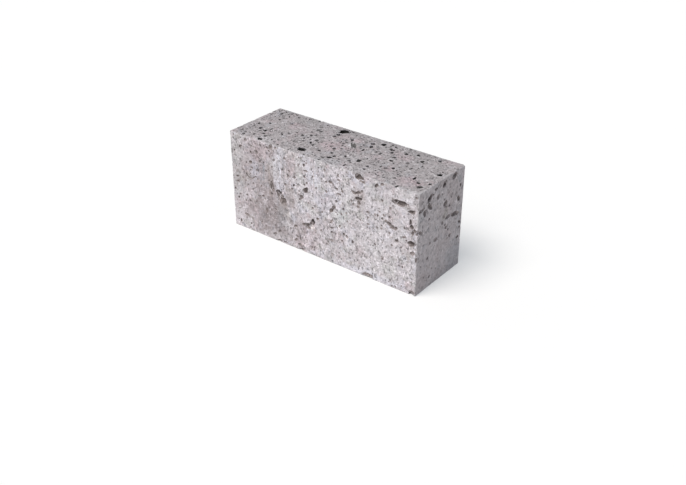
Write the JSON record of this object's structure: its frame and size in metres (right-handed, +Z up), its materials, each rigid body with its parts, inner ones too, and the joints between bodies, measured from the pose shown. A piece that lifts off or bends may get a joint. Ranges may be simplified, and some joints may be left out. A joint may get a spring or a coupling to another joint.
{
  "type": "concrete paving brick",
  "caption": "Rectangular solid concrete paving brick with worn arrises and open air voids, laid on its bed face beside others to make a path or drive.",
  "frame": {"origin": "middle of the bed face, the face that lies on the ground", "axes": "+X along the length, +Y across the width from the front face to the back face, +Z up from the bed face to the wearing face"},
  "size_m": [0.21, 0.07, 0.098],
  "materials": {
    "concrete": "matte grey concrete with a pale laitance film, faint pink mottling and open air voids"
  },
  "bodies": {
    "root": {"brick": "concrete"}
  },
  "joints": []
}
